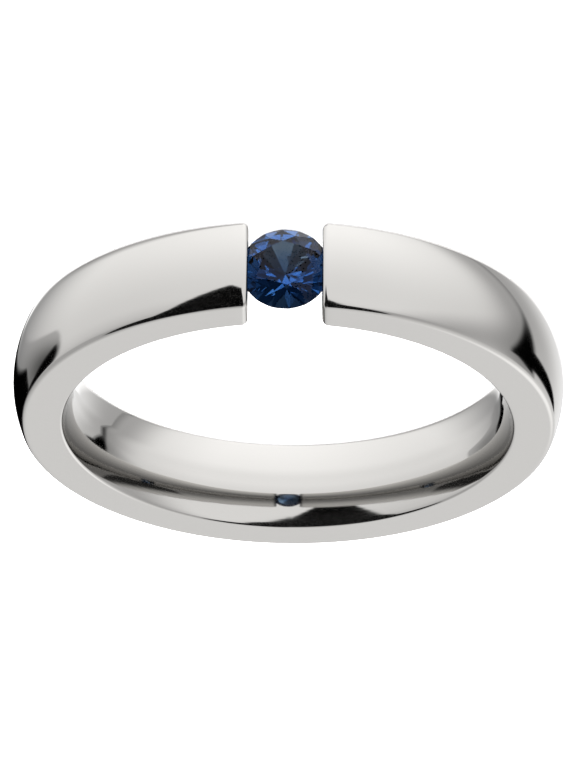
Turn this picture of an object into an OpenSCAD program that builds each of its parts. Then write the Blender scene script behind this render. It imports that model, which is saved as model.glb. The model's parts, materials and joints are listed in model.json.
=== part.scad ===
// Tension set ring: a polished metal band that is cut through at the head, and a round
// brilliant stone whose girdle sits in a notch in each of the two facing ends.
// The ring lies on its side: +Z is the finger axis, the surface it lies on is z = 0, and
// the stone's table looks along -Y. The origin is on the finger axis, at that surface.

/* [Band] */
// Inside diameter of the band at the middle of its width, US size 8 1/4
finger_bore_d = 18.35; // [16:0.05:22]
// Width of the band along the finger
band_w = 4; // [3.6:0.1:6]
// Thickness of the wall at the middle of its width
wall_t = 2.525; // [2.3:0.025:3]
// Height of the domed crown above the band's shoulders
crown_rise = 0.42; // [0.2:0.01:0.6]
// Rounding between the crown and each side face
shoulder_r = 0.25; // [0.15:0.01:0.5]
// Length of the straight land along the crest of the domed bore
bore_land_w = 0.4; // [0.3:0.05:0.8]
// How far the dome falls back from its land to each side face
bore_flare = 0.42; // [0.2:0.01:0.5]
// Rounding between the bore and each side face
bore_edge_r = 0.12; // [0.05:0.01:0.2]

/* [Setting] */
// Width of the opening between the two ends of the band
opening_w = 3.1; // [2.9:0.02:3.3]
// Bevel that breaks the sharp edges of the two ends
end_break = 0.15; // [0.05:0.01:0.2]
// Room between the stone and the notches that hold it
seat_clear = 0.03; // [0.01:0.01:0.05]
// Room between the stone's lowest point and the finger
culet_clear = 0.03; // [0.02:0.01:0.3]

/* [Stone] */
// Diameter of the stone at its girdle
stone_d = 3.7; // [3.5:0.05:4]
// Width of the table from corner to corner
table_w = 2.07; // [1.8:0.01:2.3]
// Height of the stone's crown, from the girdle to the table
table_h = 0.555; // [0.4:0.005:0.6]
// Thickness of the girdle where it is thickest
girdle_t = 0.09; // [0.07:0.01:0.15]
// Depth of the pavilion, from the girdle to the culet
pavilion_h = 1.48; // [1.2:0.01:1.6]
// Radius of the outer corners of the star facets
star_r = 1.4; // [1.3:0.05:1.5]
// Radius of the inner corners of the lower girdle facets
lower_r = 0.43; // [0.3:0.01:0.7]
// Number of main facets on the crown, and on the pavilion
mains = 8; // [8:1:10]
// Turn of the facets about the stone's own axis
stone_turn = 6; // [-22:1:22]

/* [Hidden] */
$fn = 96;

// The band's section is drawn as radius and height, with its side faces at 0 and band_w
bore_r = finger_bore_d / 2;
crown_r = bore_r + wall_t;
mid_z = band_w / 2;

// The crown is one arc across the whole width
crown_arc_r = (pow(mid_z, 2) + pow(crown_rise, 2)) / (2 * crown_rise);
crown_arc_x = crown_r - crown_arc_r;
// The bore bulges towards the finger: an arc leaves each end of its straight land
flare_w = (band_w - bore_land_w) / 2;
flare_arc_r = (pow(flare_w, 2) + pow(bore_flare, 2)) / (2 * bore_flare);
flare_arc_x = bore_r + flare_arc_r;

// Centres of the roundings, which touch the side face at 0 and one of those arcs
shoulder_x = crown_arc_x + sqrt(pow(crown_arc_r - shoulder_r, 2) - pow(mid_z - shoulder_r, 2));
bore_edge_x = flare_arc_x - sqrt(pow(flare_arc_r - bore_edge_r, 2) - pow(flare_w - bore_edge_r, 2));
// Directions from those centres to the points where they touch the arcs
shoulder_dir = atan2(shoulder_r - mid_z, shoulder_x - crown_arc_x);
bore_edge_dir = atan2(bore_edge_r - flare_w, bore_edge_x - flare_arc_x);

// Facets are planes. Each passes a known radius at a known height and falls by a slope
stone_r = stone_d / 2;
table_r = table_w / 2;
main_step = 360 / mains;
table_edge_r = table_r * cos(main_step / 2);
main_slope = table_h / (stone_r - table_r);
star_h = table_h - (star_r * cos(main_step / 2) - table_r) * main_slope;
star_slope = (table_h - star_h) / (star_r - table_edge_r);
upper_slope = star_h / ((stone_r - star_r) * cos(main_step / 4));
pavilion_slope = pavilion_h / stone_r;
lower_h = pavilion_h - lower_r * cos(main_step / 2) * pavilion_slope;
lower_slope = lower_h / ((stone_r - lower_r) * cos(main_step / 4));

// The stone sits as low as the finger allows
girdle_depth = bore_r + culet_clear + pavilion_h + girdle_t / 2;

// How far a cutter runs past what it cuts
past = 1;

// Everything outside a rounding, within its two tangent directions
module corner_waste(centre, radius, from, to) {
    middle = (from + to) / 2;
    reach = 3 * radius;
    translate(centre)
        difference() {
            polygon([
                [0, 0],
                radius * [cos(from), sin(from)],
                reach * [cos(middle), sin(middle)],
                radius * [cos(to), sin(to)]
            ]);
            circle(r = radius);
        }
}

// The domed bore's outline, as wide as the wall
module bore_outline() {
    translate([bore_r, flare_w]) square([wall_t, bore_land_w]);
    for (z = [flare_w, band_w - flare_w])
        translate([flare_arc_x, z]) circle(r = flare_arc_r);
}

module band_section() {
    difference() {
        intersection() {
            translate([bore_r, 0]) square([wall_t + past, band_w]);
            translate([crown_arc_x, mid_z]) circle(r = crown_arc_r);
            bore_outline();
        }
        for (side = [0, 1])
            translate([0, side * band_w]) mirror([0, side]) {
                corner_waste([shoulder_x, shoulder_r], shoulder_r, -90, shoulder_dir);
                corner_waste([bore_edge_x, bore_edge_r], bore_edge_r, bore_edge_dir, -90);
            }
    }
}

// Puts a shape that is drawn with its axis along Z on the stone's axis, table outwards
module on_stone_axis() {
    translate([0, -girdle_depth, mid_z]) rotate([90, 0, 0]) children();
}

// What breaks the edge between the bore and one end: three flats at 45 degrees, one on the
// land and one on each flank of the dome
module bore_break() {
    flank_turn = (bore_edge_dir + 180) * 2 / 3;
    flank_x = flare_arc_x - flare_arc_r * cos(flank_turn);
    flank_z = flare_w - flare_arc_r * sin(flank_turn);
    bore_flat(bore_r, mid_z, 0);
    bore_flat(flank_x, flank_z, -flank_turn);
    bore_flat(flank_x, band_w - flank_z, flank_turn);
}

module bore_flat(radius, z, lean) {
    end_x = opening_w / 2;
    translate([end_x, -sqrt(pow(radius, 2) - pow(end_x, 2)), z])
        rotate([lean, 0, 0])
            translate([0, -end_break, 0])
                rotate([0, 0, 45])
                    translate([-2 * past, 0, -band_w]) cube([3 * past, past, 2 * band_w]);
}

// What breaks the edge between the crown and one end: a few flats at 45 degrees, which
// share the crown's arc between them
module crown_break() {
    end_x = opening_w / 2;
    arc_centre = sqrt(pow(crown_r, 2) - pow(end_x, 2)) - crown_arc_r;
    flats = 3;
    lean = 2 * asin(mid_z / crown_arc_r) / flats;
    for (k = [0 : flats - 1])
        translate([end_x, -arc_centre, mid_z])
            rotate([(k - (flats - 1) / 2) * lean, 0, 0])
                translate([0, end_break - crown_arc_r, 0])
                    rotate([0, 0, -45])
                        translate([-past, -2 * past, -band_w]) cube([2 * past, 2 * past, 2 * band_w]);
}

// The slot between the two ends, widened where it breaks their edges
module opening() {
    end_x = opening_w / 2;
    far_y = crown_r + past;
    run = end_break + past;
    rotate([90, 0, 0])
        linear_extrude(far_y)
            for (side = [0, 1])
                mirror([side, 0])
                    polygon([
                        [0, -past],
                        [end_x + run, -past],
                        [end_x, end_break],
                        [end_x, band_w - end_break],
                        [end_x + run, band_w + past],
                        [0, band_w + past]
                    ]);
    for (side = [0, 1])
        mirror([side, 0, 0]) {
            crown_break();
            bore_break();
        }
}

// What the two seats are cut with: the stone's outline with room all round it
module seat_cutter() {
    rim = stone_r + seat_clear;
    top = girdle_t / 2 + seat_clear;
    rotate_extrude()
        polygon([
            [0, -top - pavilion_h],
            [rim, -top],
            [rim, top],
            [table_r + seat_clear, top + table_h],
            [0, top + table_h]
        ]);
}

module band() {
    color("gainsboro")
    difference() {
        rotate_extrude() band_section();
        opening();
        on_stone_axis() seat_cutter();
    }
}

// One tier of facets: a pyramid whose sides pass a radius at a height and fall by a slope
module facet_tier(turn, radius, height, slope) {
    apothem_share = cos(main_step / 2);
    foot = height - stone_d;
    foot_r = radius + stone_d / slope;
    rotate([0, 0, turn + main_step / 2])
        translate([0, 0, foot])
            cylinder(h = foot_r * slope, r1 = foot_r / apothem_share, r2 = 0, $fn = mains);
}

module stone() {
    pair_turn = main_step / 4;
    color("navy")
    on_stone_axis() rotate([0, 0, 90 + stone_turn])
    intersection() {
        translate([0, 0, -girdle_t / 2 - pavilion_h])
            cylinder(h = pavilion_h + girdle_t + table_h, r = stone_r);
        translate([0, 0, girdle_t / 2])
            intersection() {
                facet_tier(0, stone_r, 0, main_slope);
                facet_tier(2 * pair_turn, table_edge_r, table_h, star_slope);
                facet_tier(pair_turn, stone_r * cos(pair_turn), 0, upper_slope);
                facet_tier(-pair_turn, stone_r * cos(pair_turn), 0, upper_slope);
            }
        mirror([0, 0, 1]) translate([0, 0, girdle_t / 2])
            intersection() {
                facet_tier(0, stone_r, 0, pavilion_slope);
                facet_tier(pair_turn, stone_r * cos(pair_turn), 0, lower_slope);
                facet_tier(-pair_turn, stone_r * cos(pair_turn), 0, lower_slope);
            }
    }
}

band();
stone();
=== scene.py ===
# %% [markdown]
# # A tension set ring
#
# A tension set ring is a stiff hoop that is cut through at the head. Its two ends press
# on the girdle of a round stone, and nothing else holds it. This notebook dresses the
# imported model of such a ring: the model gives every place and size, and the cells below
# model a finer band and a finer stone over it, polish them and light them.

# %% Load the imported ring
import math
import bmesh
import bpy
from mathutils import Matrix, Vector
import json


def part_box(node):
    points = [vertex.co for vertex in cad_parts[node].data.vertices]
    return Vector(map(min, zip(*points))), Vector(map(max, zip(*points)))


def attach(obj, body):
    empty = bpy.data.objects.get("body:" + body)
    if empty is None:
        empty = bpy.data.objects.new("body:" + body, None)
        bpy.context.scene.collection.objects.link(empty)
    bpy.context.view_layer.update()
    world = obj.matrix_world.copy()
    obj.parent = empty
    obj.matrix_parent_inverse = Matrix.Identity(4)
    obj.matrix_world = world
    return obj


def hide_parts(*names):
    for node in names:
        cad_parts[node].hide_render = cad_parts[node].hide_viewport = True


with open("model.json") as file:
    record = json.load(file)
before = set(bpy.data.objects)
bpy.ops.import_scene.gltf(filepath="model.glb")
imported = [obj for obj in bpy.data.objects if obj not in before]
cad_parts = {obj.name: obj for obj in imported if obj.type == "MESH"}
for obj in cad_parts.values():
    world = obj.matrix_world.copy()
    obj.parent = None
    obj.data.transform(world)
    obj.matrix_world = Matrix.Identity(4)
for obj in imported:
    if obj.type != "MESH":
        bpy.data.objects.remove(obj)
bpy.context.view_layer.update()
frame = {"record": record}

# %% [markdown]
# ## The sizes
#
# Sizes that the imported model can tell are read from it: the bore from its mount, the
# width and the outside from the band's box, the stone's diameter from its own box. The
# small curves of the section can't be read from a box, so they are written here once.
# Everything is in millimetres while it is modelled, which keeps the numbers readable.

# %% Read the sizes
MM = 0.001

bore = next(m for m in frame["record"]["mounts"] if m["name"] == "finger_bore")
band_low, band_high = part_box("band")
stone_low, stone_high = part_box("stone")

bore_radius = bore["dims"]["r_mm"]
land_width = bore["dims"]["length_mm"]
band_width = (band_high.z - band_low.z) / MM
crown_radius = band_high.x / MM
middle = band_width / 2
print("bore", bore_radius, "outside", round(crown_radius, 3), "width", round(band_width, 3))

# How far the domed crown stands above its shoulders
crown_rise = 0.42
# The domed bore leaves its land in a tight arc and goes on in a flatter one
crest_arc = 2.2
crest_turn = math.radians(10.5)
flank_arc = 8.5
# The roundings between the crown or the bore and the flat side faces
shoulder_round = 0.25
bore_edge_round = 0.12
# The opening between the two ends, and the rounding of their edges
opening = 3.1
end_round = 0.25

# %% [markdown]
# ## The camera
#
# The photograph shows the ring from 27 degrees above the plane of its side face, with the
# stone at the top of the picture. This ring lies on that face's twin, so the camera looks
# down on it from the stone's side and is rolled half a turn, which puts the stone back at
# the top. The long lens matches the photograph's weak perspective.

# %% Set up the camera
camera_elevation = 26.9
camera_azimuth = -1.07
camera_roll = 180.84
camera_distance = 500.0
pixels_per_mm = 23.52
# Where the middle of the ring falls in the photograph, in pixels of its 576 x 768 frame
photo_size = (576, 768)
ring_centre_px = (288.35, 385.6)

elevation = math.radians(camera_elevation)
azimuth = math.radians(camera_azimuth)
towards_camera = Vector((math.sin(azimuth) * math.cos(elevation),
                         -math.cos(azimuth) * math.cos(elevation),
                         math.sin(elevation)))
turn = towards_camera.to_track_quat("Z", "Y") @ Matrix.Rotation(
    math.radians(camera_roll), 3, "Z").to_quaternion()
right = turn @ Vector((1, 0, 0))
up = turn @ Vector((0, 1, 0))
aim = Vector((0, 0, middle))
aim -= right * (ring_centre_px[0] - photo_size[0] / 2) / pixels_per_mm
aim += up * (ring_centre_px[1] - photo_size[1] / 2) / pixels_per_mm

camera_data = bpy.data.cameras.new("camera")
camera_data.sensor_width = 36
camera_data.lens = camera_data.sensor_width * pixels_per_mm * camera_distance / max(photo_size)
camera_data.clip_end = 5
camera = bpy.data.objects.new("camera", camera_data)
camera.rotation_mode = "QUATERNION"
camera.rotation_quaternion = turn
camera.location = (aim + towards_camera * camera_distance) * MM
bpy.context.collection.objects.link(camera)
bpy.context.scene.camera = camera
print("lens", round(camera_data.lens, 1), "mm, camera at", [round(v, 4) for v in camera.location])

# %% [markdown]
# ## The band's section
#
# Cut the hoop across and the cut has a low dome outside, two flat sides and a second dome
# inside, which slides over a knuckle and is called a comfort fit. All its curves are arcs,
# and each arc leaves the last one without a corner. An arc is a vertex spun about the
# arc's centre, so half of the section is walked as one chain of arcs and lines, and the
# other half is its mirror image. Short lines next to the arcs hold the flats flat. The
# section is drawn about its own middle, at height 0, because the mirror stands there.

# %% Draw the section
def arc(bm, vertex, centre, start, end, steps):
    """Spins a vertex about a centre in the XZ plane, from one direction to another."""
    made = bmesh.ops.spin(bm, geom=[vertex], cent=(centre[0], 0, centre[1]), axis=(0, -1, 0),
                          dvec=(0, 0, 0), angle=end - start, steps=steps, use_duplicate=False)
    return next(g for g in made["geom_last"] if isinstance(g, bmesh.types.BMVert))


def line(bm, vertex, x, z):
    """Draws an edge from a vertex to a new one."""
    made = bmesh.ops.extrude_vert_indiv(bm, verts=[vertex])
    made["verts"][0].co = (x, 0, z)
    return made["verts"][0]


def draw_section(bm):
    """Draws half of the section from the crown round to the bore, and mirrors it."""
    hold = 0.02
    crown_arc = (middle ** 2 + crown_rise ** 2) / (2 * crown_rise)
    crown_x = crown_radius - crown_arc
    shoulder_x = crown_x + math.sqrt((crown_arc - shoulder_round) ** 2
                                     - (middle - shoulder_round) ** 2)
    shoulder_from = math.atan2(shoulder_round - middle, shoulder_x - crown_x)
    crest = Vector((bore_radius + crest_arc, -land_width / 2))
    flank = crest + Vector((math.cos(crest_turn), math.sin(crest_turn))) * (flank_arc - crest_arc)
    bore_edge_z = bore_edge_round - middle
    bore_edge_x = flank.x - math.sqrt((flank_arc - bore_edge_round) ** 2
                                      - (bore_edge_z - flank.y) ** 2)
    bore_edge_to = math.atan2(bore_edge_z - flank.y, bore_edge_x - flank.x)

    v = bm.verts.new((crown_radius, 0, 0))
    v = arc(bm, v, (crown_x, 0), 0, shoulder_from, steps=16)
    v = arc(bm, v, (shoulder_x, shoulder_round - middle), shoulder_from, -math.pi / 2, steps=10)
    v = line(bm, v, shoulder_x - hold, -middle)
    v = line(bm, v, bore_edge_x + hold, -middle)
    v = line(bm, v, bore_edge_x, -middle)
    v = arc(bm, v, (bore_edge_x, bore_edge_z), -math.pi / 2, bore_edge_to, steps=7)
    v = arc(bm, v, flank, bore_edge_to, crest_turn - math.pi, steps=10)
    v = arc(bm, v, crest, crest_turn - math.pi, -math.pi, steps=6)
    v = line(bm, v, bore_radius, hold - land_width / 2)
    line(bm, v, bore_radius, 0)
    bmesh.ops.mirror(bm, geom=bm.verts[:] + bm.edges[:], axis="Z", merge_dist=hold / 10)


section = bmesh.new()
draw_section(section)
print("section:", len(section.verts), "points,",
      "closed" if all(len(v.link_edges) == 2 for v in section.verts) else "open")

# %% [markdown]
# ## The hoop
#
# A jeweller turns the hoop on a lathe and then saws it open. Here the section is spun round
# the finger axis, from one side of the opening all the way to the other. A spun section
# stands across the hoop, but the two ends of this band are parallel to each other. So each
# point then slides along its own circle, a little less for the points far from the ends,
# until both end sections lie flat and parallel.

# %% Spin the hoop and square its ends
def from_head(point):
    """The angle of a point round the finger axis, counted from the stone's side."""
    return math.atan2(point.x, -point.y) % (2 * math.pi)


def slide_to_flat_ends(bm, first, end_x):
    """Slides all points along their circles, so that the end sections reach x = +-end_x."""
    for v in bm.verts:
        radius = math.hypot(v.co.x, v.co.y)
        wanted = math.asin(end_x / radius)
        share = (from_head(v.co) - math.pi) / (math.pi - first)
        angle = math.pi + share * (math.pi - wanted)
        v.co.x = radius * math.sin(angle)
        v.co.y = -radius * math.cos(angle)


hoop_steps = 180
end_x = opening / 2
first_angle = math.asin((end_x + end_round) / crown_radius)

hoop = section.copy()
bmesh.ops.rotate(hoop, verts=hoop.verts, matrix=Matrix.Rotation(first_angle - math.pi / 2, 3, "Z"))
bmesh.ops.spin(hoop, geom=hoop.verts[:] + hoop.edges[:], cent=(0, 0, 0), axis=(0, 0, 1),
               dvec=(0, 0, 0), angle=2 * (math.pi - first_angle), steps=hoop_steps,
               use_duplicate=False)
slide_to_flat_ends(hoop, first_angle, end_x + end_round)
end_loops = [e for e in hoop.edges if e.is_boundary]
print("hoop:", len(hoop.faces), "faces,", len(end_loops), "edges round the two ends")

# %% [markdown]
# ## The two ends
#
# A polished end has no sharp edge. The rounding is made as a potter closes a pot: the end
# loop is extruded a little towards the opening and drawn in a little, several times over,
# along a quarter circle.

# %% Round over the ends
def round_over(bm, side, steps=8):
    """Extrudes one end's loop along a quarter circle. Returns the last loop's edges."""
    loop = [e for e in bm.edges if e.is_boundary and e.verts[0].co.x * side > 0]
    verts = {v for e in loop for v in e.verts}
    low = Vector([min(v.co[i] for v in verts) for i in range(3)])
    high = Vector([max(v.co[i] for v in verts) for i in range(3)])
    centre = (low + high) / 2
    size = high - low
    x, inset = end_x + end_round, 0.0
    for k in range(1, steps + 1):
        quarter = math.pi / 2 * k / steps
        new_x = end_x + end_round * (1 - math.sin(quarter))
        new_inset = end_round * (1 - math.cos(quarter))
        made = bmesh.ops.extrude_edge_only(bm, edges=loop)
        loop = [g for g in made["geom"] if isinstance(g, bmesh.types.BMEdge)]
        verts = [g for g in made["geom"] if isinstance(g, bmesh.types.BMVert)]
        drawn = (1, (size.y - 2 * new_inset) / (size.y - 2 * inset),
                 (size.z - 2 * new_inset) / (size.z - 2 * inset))
        bmesh.ops.scale(bm, vec=drawn, space=Matrix.Translation(-centre), verts=verts)
        outwards = math.sqrt(centre.y ** 2 - new_x ** 2) - math.sqrt(centre.y ** 2 - x ** 2)
        bmesh.ops.translate(bm, vec=(side * (new_x - x), -outwards, 0), verts=verts)
        x, inset = new_x, new_inset
    return loop


rims = {side: round_over(hoop, side) for side in (1, -1)}
print("rounded ends:", {side: len(rim) for side, rim in rims.items()}, "edges")

# %% [markdown]
# ## The stone's place
#
# The stone stands between the two ends with its table outwards. The box of the packed
# stone tells its diameter and how far it reaches in and out. The heights of its table and
# its girdle can't be read from a box, so they are written here. The stone and its seats are
# both drawn upright on the Z axis, and one helper lays them on the stone's axis, so they
# can't come apart.

# %% Read the stone's place
girdle_thickness = 0.09
table_height = 0.555
table_width = 2.07
table_radius = table_width / 2

stone_radius = stone_high.x / MM
girdle_y = stone_low.y / MM + table_height + girdle_thickness / 2
pavilion_depth = (stone_high.y - stone_low.y) / MM - table_height - girdle_thickness
print("stone radius", round(stone_radius, 3), "girdle at y", round(girdle_y, 3),
      "pavilion", round(pavilion_depth, 3))


def to_stone_axis(bm, turn=0.0):
    """Takes a shape that stands on the Z axis, turns it and lays it on the stone's axis."""
    place = (Matrix.Translation((0, girdle_y, 0)) @ Matrix.Rotation(math.pi / 2, 4, "X")
             @ Matrix.Rotation(turn, 4, "Z"))
    bmesh.ops.transform(bm, matrix=place, verts=bm.verts)


# %% [markdown]
# ## The seats
#
# A setter cuts a notch in each end with a bur of the stone's own outline. So the bur is
# modelled here and not the notch: its outline is spun round the stone's axis, and the part
# of it that dips into an end becomes the notch's wall. The end face is then filled in flat
# between its rim and the notch. A boolean could cut the notch as well, but its stray edges
# would show in a mirror polish.

# %% Cut the seats
seat_clearance = 0.03


def join(bm, other):
    """Adds the geometry of another bmesh to this one."""
    mesh = bpy.data.meshes.new("joined")
    other.to_mesh(mesh)
    bm.from_mesh(mesh)
    bpy.data.meshes.remove(mesh)


def seat_wall(side, steps=128):
    """The part of the bur's outline that lies inside one end."""
    bm = bmesh.new()
    rim = stone_radius + seat_clearance
    top = girdle_thickness / 2 + seat_clearance
    v = bm.verts.new((0, 0, -top - pavilion_depth))
    v = line(bm, v, rim, -top)
    v = line(bm, v, rim, top)
    line(bm, v, table_radius + seat_clearance, top + table_height)
    bmesh.ops.spin(bm, geom=bm.verts[:] + bm.edges[:], cent=(0, 0, 0), axis=(0, 0, 1),
                   dvec=(0, 0, 0), angle=2 * math.pi, steps=steps, use_merge=True,
                   use_duplicate=False)
    to_stone_axis(bm)
    bmesh.ops.bisect_plane(bm, geom=bm.verts[:] + bm.edges[:] + bm.faces[:], dist=1e-5,
                           plane_co=(side * end_x, 0, 0), plane_no=(side, 0, 0),
                           clear_inner=True)
    return bm


for side in (1, -1):
    wall = seat_wall(side)
    join(hoop, wall)
    outline = [e for e in hoop.edges if e.is_boundary and e.verts[0].co.x * side > 0]
    bmesh.ops.triangle_fill(hoop, edges=outline, use_beauty=True, normal=(-side, 0, 0))
    print("seat", side, "wall faces:", len(wall.faces), "outline edges:", len(outline))

# %% [markdown]
# ## The finished band
#
# The band goes up on its side face, from about its own middle to height 0, and from
# millimetres to metres. The sharp lines of the seats are marked, and everything else is
# shaded smooth. Weighted Normal then lets each large flat keep its own direction against
# the small roundings beside it, which a mirror polish would otherwise give away.

# %% Make the band
def finish_piece(bm, name, sharp_angle=None):
    """Turns a bmesh in millimetres, drawn about the band's middle, into a piece in metres."""
    bmesh.ops.translate(bm, vec=(0, 0, middle), verts=bm.verts)
    bmesh.ops.scale(bm, vec=(MM, MM, MM), verts=bm.verts)
    bmesh.ops.recalc_face_normals(bm, faces=bm.faces)
    open_edges = sum(not e.is_manifold for e in bm.edges)
    for face in bm.faces:
        face.smooth = sharp_angle is not None
    if sharp_angle is not None:
        for e in bm.edges:
            e.smooth = e.is_manifold and e.calc_face_angle() < sharp_angle
    mesh = bpy.data.meshes.new(name)
    bm.to_mesh(mesh)
    piece = bpy.data.objects.new(name, mesh)
    bpy.context.collection.objects.link(piece)
    print(name, len(mesh.polygons), "faces,", open_edges, "open edges, volume",
          round(bm.calc_volume() / MM ** 3, 1), "mm3")
    return piece


band = finish_piece(hoop, "polished_band", sharp_angle=math.radians(25))
weighted = band.modifiers.new("keep flats flat", "WEIGHTED_NORMAL")
weighted.mode = "FACE_AREA"
weighted.keep_sharp = True
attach(band, "root")
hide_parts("band")

# %% [markdown]
# ## The stone
#
# A round brilliant starts as a short rod that the cutter grinds against a flat lap, one
# facet at a time, always turned by the same step. The model is cut in the same way: a
# plane bisects the stone, the waste is cleared and the cut is filled. Eight kites run from
# the table to the girdle, eight stars lie round the table, and sixteen small facets meet
# the girdle on each side. Each plane passes a known radius at a known height.

# %% Cut the stone
mains = 8
girdle_steps = 128
# Radii of the outer corners of the stars and of the inner corners of the lower facets
star_radius = 1.4
lower_radius = 0.43
# A corner of the table would point up, but the photographed stone is turned a little
facet_turn = math.radians(90 + 6)


def cut_facets(bm, count, first, radius, height, slope, side):
    """Cuts a tier of equal facets. Side is 1 above the girdle and -1 below it."""
    edge = side * (girdle_thickness / 2 + height)
    for k in range(count):
        angle = first + 2 * math.pi * k / count
        outwards = Vector((math.cos(angle), math.sin(angle), 0))
        normal = (outwards * slope + Vector((0, 0, side))).normalized()
        bmesh.ops.bisect_plane(bm, geom=bm.verts[:] + bm.edges[:] + bm.faces[:], dist=1e-5,
                               plane_co=outwards * radius + Vector((0, 0, edge)),
                               plane_no=normal, clear_outer=True)
        bmesh.ops.holes_fill(bm, edges=[e for e in bm.edges if e.is_boundary])


def cut_stone():
    """Cuts a rod down to the brilliant and lays it on the stone's axis."""
    main_step = 2 * math.pi / mains
    table_edge = table_radius * math.cos(main_step / 2)
    main_slope = table_height / (stone_radius - table_radius)
    star_height = table_height - (star_radius * math.cos(main_step / 2) - table_radius) * main_slope
    star_slope = (table_height - star_height) / (star_radius - table_edge)
    upper_slope = star_height / ((stone_radius - star_radius) * math.cos(main_step / 4))
    pavilion_slope = pavilion_depth / stone_radius
    lower_depth = pavilion_depth - lower_radius * math.cos(main_step / 2) * pavilion_slope
    lower_slope = lower_depth / ((stone_radius - lower_radius) * math.cos(main_step / 4))
    pair_radius = stone_radius * math.cos(main_step / 4)

    bm = bmesh.new()
    rod = pavilion_depth + girdle_thickness + table_height
    middle_height = (table_height - pavilion_depth) / 2
    bmesh.ops.create_cone(bm, cap_ends=True, segments=girdle_steps, radius1=stone_radius,
                          radius2=stone_radius, depth=rod,
                          matrix=Matrix.Translation((0, 0, middle_height)))
    cut_facets(bm, mains, 0, stone_radius, 0, main_slope, 1)
    cut_facets(bm, mains, main_step / 2, table_edge, table_height, star_slope, 1)
    cut_facets(bm, 2 * mains, main_step / 4, pair_radius, 0, upper_slope, 1)
    cut_facets(bm, mains, 0, stone_radius, 0, pavilion_slope, -1)
    cut_facets(bm, 2 * mains, main_step / 4, pair_radius, 0, lower_slope, -1)
    bmesh.ops.remove_doubles(bm, verts=bm.verts, dist=1e-4)
    to_stone_axis(bm, facet_turn)
    return bm


brilliant = cut_stone()
stone = finish_piece(brilliant, "sapphire")
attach(stone, "root")
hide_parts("stone")

# %% [markdown]
# ## Polished metal
#
# The band is buffed to a mirror with a wheel that runs round it, first on the crown and
# the bore and then flat on the sides. Such a polish isn't perfect: it keeps very fine
# lines that follow the wheel, and a few softer patches. Both are drawn on the angle, the
# radius and the height of a point, so the lines run round the band. The angle jumps at the
# head, where the band is open, and no seam can show.

# %% Make the metal
def add(tree, kind, **settings):
    """Adds a node and sets some of its properties."""
    node = tree.nodes.new("ShaderNode" + kind)
    for key, value in settings.items():
        setattr(node, key, value)
    return node


def new_material(name):
    """A material with one Principled shader. Returns it with its node tree and the shader."""
    material = bpy.data.materials.new(name)
    material.use_nodes = True
    tree = material.node_tree
    tree.nodes.clear()
    shader = add(tree, "BsdfPrincipled")
    output = add(tree, "OutputMaterial")
    tree.links.new(shader.outputs["BSDF"], output.inputs["Surface"])
    return material, tree, shader


def round_the_band(tree):
    """A vector of a point's angle, radius and height about the finger axis, in millimetres."""
    place = add(tree, "TexCoord")
    in_mm = add(tree, "VectorMath", operation="SCALE")
    in_mm.inputs["Scale"].default_value = 1 / MM
    split = add(tree, "SeparateXYZ")
    angle = add(tree, "Math", operation="ARCTAN2")
    flat = add(tree, "CombineXYZ")
    radius = add(tree, "VectorMath", operation="LENGTH")
    polar = add(tree, "CombineXYZ")
    tree.links.new(place.outputs["Object"], in_mm.inputs[0])
    tree.links.new(in_mm.outputs["Vector"], split.inputs[0])
    tree.links.new(split.outputs["X"], angle.inputs[0])
    tree.links.new(split.outputs["Y"], angle.inputs[1])
    tree.links.new(split.outputs["X"], flat.inputs["X"])
    tree.links.new(split.outputs["Y"], flat.inputs["Y"])
    tree.links.new(flat.outputs[0], radius.inputs[0])
    tree.links.new(angle.outputs[0], polar.inputs["X"])
    tree.links.new(radius.outputs["Value"], polar.inputs["Y"])
    tree.links.new(split.outputs["Z"], polar.inputs["Z"])
    return polar.outputs[0]


metal, tree, shader = new_material("polished light metal")
shader.inputs["Base Color"].default_value = (0.52, 0.51, 0.495, 1)
shader.inputs["Metallic"].default_value = 1
polar = round_the_band(tree)

# The lines: few along the wheel's way and many across it. Their depth is in metres
lines_per_radian = 1.5
lines_per_mm = 14
line_depth = 0.25e-6
stretch = add(tree, "Mapping")
stretch.inputs["Scale"].default_value = (lines_per_radian, lines_per_mm, lines_per_mm)
lines = add(tree, "TexNoise")
lines.inputs["Scale"].default_value = 1
lines.inputs["Detail"].default_value = 4
tree.links.new(polar, stretch.inputs["Vector"])
tree.links.new(stretch.outputs[0], lines.inputs["Vector"])
bump = add(tree, "Bump")
bump.inputs["Strength"].default_value = 1
bump.inputs["Distance"].default_value = line_depth
tree.links.new(lines.outputs["Fac"], bump.inputs["Height"])
tree.links.new(bump.outputs[0], shader.inputs["Normal"])

# The patches: between a fine and a softer polish
fine_polish = 0.045
soft_polish = 0.085
patches = add(tree, "TexNoise")
patches.inputs["Scale"].default_value = 0.7
patches.inputs["Detail"].default_value = 3
roughness = add(tree, "MapRange")
roughness.inputs["From Min"].default_value = 0.35
roughness.inputs["From Max"].default_value = 0.7
roughness.inputs["To Min"].default_value = fine_polish
roughness.inputs["To Max"].default_value = soft_polish
tree.links.new(polar, patches.inputs["Vector"])
tree.links.new(patches.outputs["Fac"], roughness.inputs["Value"])
tree.links.new(roughness.outputs[0], shader.inputs["Roughness"])
band.data.materials.append(metal)
print("metal:", len(tree.nodes), "nodes")

# %% [markdown]
# ## Sapphire
#
# A sapphire of this depth of blue looks almost black where light has a long way through
# it, and blue where a facet throws light straight back. So the surface is clear, with
# sapphire's refraction of 1.77, and the colour sits in the volume, which takes more
# from a longer path. A crystal grows in zones of weaker and stronger blue, and a soft
# noise stands for them. The photographed stone shows no white glints on its facets, so
# the tint of its gloss is kept low.

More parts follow.
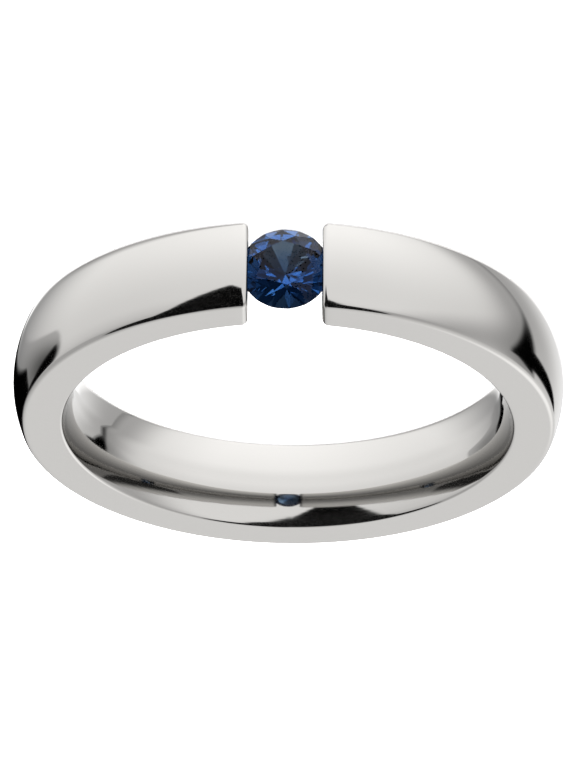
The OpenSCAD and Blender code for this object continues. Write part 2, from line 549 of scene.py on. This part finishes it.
# %% Make the sapphire
sapphire, tree, shader = new_material("sapphire")
shader.inputs["Specular Tint"].default_value = (0.14, 0.145, 0.19, 1)
shader.inputs["Roughness"].default_value = 0.0
shader.inputs["IOR"].default_value = 1.77
shader.inputs["Transmission Weight"].default_value = 1
depth = add(tree, "VolumeAbsorption")
depth.inputs["Color"].default_value = (0.08, 0.4, 0.66, 1)
depth.inputs["Density"].default_value = 950
output = next(n for n in tree.nodes if n.type == "OUTPUT_MATERIAL")
tree.links.new(depth.outputs[0], output.inputs["Volume"])
place = add(tree, "TexCoord")
growth = add(tree, "TexNoise")
growth.inputs["Scale"].default_value = 0.9 / MM
growth.inputs["Detail"].default_value = 3
zones = add(tree, "ValToRGB")
zones.color_ramp.elements[0].position = 0.35
zones.color_ramp.elements[0].color = (0.55, 0.68, 0.9, 1)
zones.color_ramp.elements[1].position = 0.62
zones.color_ramp.elements[1].color = (1, 1, 1, 1)
tree.links.new(place.outputs["Object"], growth.inputs["Vector"])
tree.links.new(growth.outputs["Fac"], zones.inputs["Fac"])
tree.links.new(zones.outputs["Color"], shader.inputs["Base Color"])
stone.data.materials.append(sapphire)
print("sapphire:", len(tree.nodes), "nodes")

# %% [markdown]
# ## Floor
#
# The photograph has no visible floor or shadow: the ring lies on white paper that is lit
# until it is pure white. The paper is left out of the metal's mirror and out of what the
# stone refracts. The tent that the next cells build takes its place there.

# %% Lay the floor
floor_reach = 0.4
sweep = bmesh.new()
bmesh.ops.create_grid(sweep, x_segments=2, y_segments=2, size=floor_reach)
floor_mesh = bpy.data.meshes.new("floor")
sweep.to_mesh(floor_mesh)
floor = bpy.data.objects.new("floor", floor_mesh)
bpy.context.collection.objects.link(floor)
floor.visible_glossy = False
floor.visible_transmission = False
floor_paint, tree, shader = new_material("white paper")
shader.inputs["Base Color"].default_value = (0.93, 0.93, 0.93, 1)
shader.inputs["Roughness"].default_value = 1
shader.inputs["Specular IOR Level"].default_value = 0
floor.data.materials.append(floor_paint)
print("floor:", 2 * floor_reach, "m wide")

# %% [markdown]
# ## The light tent
#
# Polished metal shows nothing but what stands round it, so a photographer shapes it with
# the surroundings: a white tent, and black flags that draw a dark line along an edge. A
# picture wrapped round the world could do this, but a tent that is painted by direction
# stays sharp at any size and can be changed by a number. A direction has an azimuth, 0
# towards the camera and positive towards +X, and an elevation, both in degrees.

# %% Measure a direction in the tent
scene = bpy.context.scene
scene.view_settings.view_transform = "Standard"

world = bpy.data.worlds.new("light tent")
scene.world = world
world.use_nodes = True
tent = world.node_tree
background = tent.nodes["Background"]


def calc(operation, first, second=None):
    """A Math node on sockets or numbers. Returns its result."""
    node = add(tent, "Math", operation=operation)
    for socket, value in zip(node.inputs, (first, second)):
        if isinstance(value, bpy.types.NodeSocket):
            tent.links.new(value, socket)
        elif value is not None:
            socket.default_value = value
    return node.outputs[0]


direction = add(tent, "TexCoord").outputs["Generated"]
parts = add(tent, "SeparateXYZ")
tent.links.new(direction, parts.inputs[0])
across, along, upwards = parts.outputs
azimuth_at = calc("DEGREES", calc("ARCTAN2", across, calc("MULTIPLY", along, -1.0)))
elevation_at = calc("DEGREES", calc("ARCSINE", upwards))
from_front = calc("ABSOLUTE", azimuth_at)
print("tent: azimuth and elevation after", len(tent.nodes), "nodes")

# %% [markdown]
# ## The tent's wall
#
# Everything in the tent is made of soft steps. A step goes from a low level to a high one
# while some angle goes from its start to its end, and a level of 1 is plain white. The
# wall is dim, with one soft window high at the back, so the polished bore fades from light
# to grey. The places of all that follows come from a look at the photographed metal: the
# mirrored ray at each light or dark patch was followed back to its direction.

# %% Paint the wall
def step(value, start, end, low=0.0, high=1.0):
    """A soft step from low to high as the value goes from start to end."""
    node = add(tent, "MapRange", interpolation_type="SMOOTHSTEP")
    tent.links.new(value, node.inputs["Value"])
    node.inputs["From Min"].default_value = start
    node.inputs["From Max"].default_value = end
    node.inputs["To Min"].default_value = low
    node.inputs["To Max"].default_value = high
    return node.outputs[0]


def away_from(azimuth, elevation):
    """How many degrees a direction is away from a given one."""
    a, e = math.radians(azimuth), math.radians(elevation)
    dot = add(tent, "VectorMath", operation="DOT_PRODUCT")
    tent.links.new(direction, dot.inputs[0])
    dot.inputs[1].default_value = (
        math.sin(a) * math.cos(e), -math.cos(a) * math.cos(e), math.sin(e))
    return calc("DEGREES", calc("ARCCOSINE", dot.outputs["Value"]))


window = away_from(-148, 32)
wall = calc("ADD", step(window, 75, 20, 0.63, 1.12), step(window, 28, 8, 0, 0.5))
wall = calc("ADD", wall, step(away_from(-160, -28), 30, 5, 0, 0.33))
print("tent: wall after", len(tent.nodes), "nodes")

# %% [markdown]
# ## The ground
#
# The lower half of the tent is white ground. It is brightest in front, right below the
# ring, and that is what the light parts of the crown mirror. Its edge in the photograph
# isn't level, so it is a line that climbs or falls with the azimuth. A shape is the product
# of its steps, and a blend then lays it over what is there.

# %% Paint the ground
def all_of(*steps):
    """The product of some steps: where all of them are on."""
    result = steps[0]
    for other in steps[1:]:
        result = calc("MULTIPLY", result, other)
    return result


def leaning(slope, pivot=0.0):
    """The elevation over a line that climbs by a slope with the azimuth."""
    rise = calc("MULTIPLY", calc("SUBTRACT", azimuth_at, pivot), slope)
    return calc("SUBTRACT", elevation_at, rise)


def blend(lower, upper, share):
    """Goes from one light to another as the share goes from 0 to 1."""
    return calc("ADD", lower, calc("MULTIPLY", calc("SUBTRACT", upper, lower), share))


ground = all_of(
    step(elevation_at, -75, 5, 1.8, 1.27), step(azimuth_at, -10, 110, 1, 0.88),
    step(azimuth_at, -125, -40, 0.75, 1), step(azimuth_at, 96, 162, 1, 0.3))
in_front = all_of(
    step(leaning(0.6, -45), 28, 8), step(leaning(-0.15), 31, 7),
    step(azimuth_at, -124, -114), step(azimuth_at, 166, 156))
level = blend(wall, ground, in_front)

# The ground at the back is bright again close to the ring
ground_at_back = 1.5
round_edge = calc("SUBTRACT", elevation_at, calc("MULTIPLY", from_front, 0.6))
close_by = all_of(step(round_edge, -126.5, -130.5), step(from_front, 100, 125))
level = blend(level, ground_at_back, close_by)
print("tent: ground after", len(tent.nodes), "nodes")

# %% [markdown]
# ## The ring's shadow and the dark room
#
# The ring throws a shadow on the ground below it. The tent is open in front, where the
# camera stands in a dark room, and the slanting edges of that opening draw the black
# streaks on the crown and the bore. The room is made of two halves, because its edges lean
# differently to the left and to the right of the camera.

# %% Shade the ground and open the dark room
def any_of(*steps):
    """The largest of some steps: where any of them is on."""
    result = steps[0]
    for other in steps[1:]:
        result = calc("MAXIMUM", result, other)
    return result


shadow = all_of(step(leaning(0.33, 10), -79, -88), step(from_front, 170, 120))
behind_ring = step(away_from(179, -26.5), 13, 7, 1, 0.6)
level = all_of(level, step(shadow, 0, 1, 1, 0.5), behind_ring)

dark_right = all_of(
    step(leaning(-0.55), 8.5, 10.5), step(leaning(0.47, 35), 2.2, 3.8),
    step(leaning(0.7, 70), 19, 25), step(azimuth_at, -3, 0),
    step(azimuth_at, 150, 82, 0.2, 1), step(elevation_at, 78, 68, 0.3, 1))
dark_left = all_of(
    step(leaning(-0.3), 7.5, 9.5), step(leaning(-1.03, -6.5), -3, 5),
    step(azimuth_at, 3, 0), step(azimuth_at, -85, -60, 0.4, 1))
dark_room = any_of(dark_right, dark_left)
print("tent: dark room after", len(tent.nodes), "nodes")

# %% [markdown]
# ## The flags
#
# A flag is a card that takes light away. Without the flags at the back, the crown would run
# into the white page on both sides of the picture: each draws a black line just inside the
# outline. On the far side, at negative azimuths, hang a black flag, a thin one beside it
# and a grey veil. On the near side hang two black cards, one behind the other, and a grey
# one below the first.

# %% Hang the flags
far_flag = all_of(
    step(azimuth_at, -154, -147), step(elevation_at, -16.5, -15),
    step(leaning(0.22, -105), -3, -4.8), step(leaning(1.7, -102), -6, 1))
far_line = all_of(
    step(azimuth_at, -121.5, -119), step(leaning(1.7, -102), -8, 1),
    step(elevation_at, -38, -16, 0.3, 1), step(elevation_at, -3, -6))
far_veil = all_of(
    step(azimuth_at, -123, -121.5), step(azimuth_at, -75, -112, 0, 0.48),
    step(elevation_at, 15, -3))

near_top = all_of(
    step(leaning(0.75, 110), -1, -4.5), step(elevation_at, 24, -3),
    step(leaning(-2.5, 160), 8, -4))
near_card = all_of(
    step(azimuth_at, 104, 109), step(azimuth_at, 139, 134),
    step(elevation_at, -13, -7.5), near_top)
back_card = all_of(step(azimuth_at, 132, 137), step(leaning(-0.4, 134), -19, -15.5), near_top)
grey_card = all_of(
    step(azimuth_at, 102, 107), step(azimuth_at, 150, 112, 0.4, 1), step(azimuth_at, 165, 150),
    step(leaning(-0.3, 108), -18.5, -16), step(leaning(-1.2, 108), -20, -15),
    step(leaning(-0.5, 112), -18, -2, 0.42, 0.85), step(leaning(0.75, 110), 2, -4.5),
    step(elevation_at, 26, 9))

dark = any_of(dark_room, far_flag, far_line, near_card, back_card, grey_card)
light = all_of(level, step(dark, 0, 1, 1, 0), step(far_veil, 0, 1, 1, 0))
print("tent: flags after", len(tent.nodes), "nodes")

# %% [markdown]
# ## Who sees the tent
#
# Only rays that the metal mirrors or the stone refracts see the painted tent. The paper is
# lit by a plain white one, so it stays even. Two kinds of ray need a light of their own,
# because a painted tent has no depth. A ray that the bore mirrors twice would meet the
# flags in the wrong place, so it sees bright ground, a light top and the dark room alone.
# A ray that leaves the stone can point anywhere. It sees one bright patch in front, a soft
# one above it and little else, which lights a few facets on a deep blue ground.

# %% Light the ring with it
tent_light = 3.6
rays = add(tent, "LightPath")

low_room = all_of(dark_room, step(elevation_at, 30, 18))
bore_light = calc("ADD", step(elevation_at, -52, -16, 2.0, 0.35),
                  step(elevation_at, 16, 36, 0, 0.8))
bore_light = all_of(bore_light, step(low_room, 0, 1, 1, 0.1))
mirrored_twice = calc("GREATER_THAN", rays.outputs["Glossy Depth"], 1.5)
never_refracted = calc("LESS_THAN", rays.outputs["Transmission Depth"], 0.5)
light = blend(light, bore_light, all_of(mirrored_twice, never_refracted))

stone_light = calc("ADD", step(away_from(8, -8), 27, 12, 0.1, 2.1),
                   step(away_from(0, 45), 45, 20, 0, 0.32))
refracted = calc("GREATER_THAN", rays.outputs["Transmission Depth"], 0.5)
light = blend(light, stone_light, refracted)

sees_tent = any_of(rays.outputs["Is Glossy Ray"], rays.outputs["Is Transmission Ray"])
seen = add(tent, "Mix", data_type="FLOAT")
tent.links.new(sees_tent, seen.inputs["Factor"])
seen.inputs["A"].default_value = tent_light
tent.links.new(light, seen.inputs["B"])
tent.links.new(seen.outputs[0], background.inputs["Strength"])
background.inputs["Color"].default_value = (1, 1, 1, 1)
print("tent:", len(tent.nodes), "nodes in all")

# %% [markdown]
# ## Finish
#

# %% Finish
import json
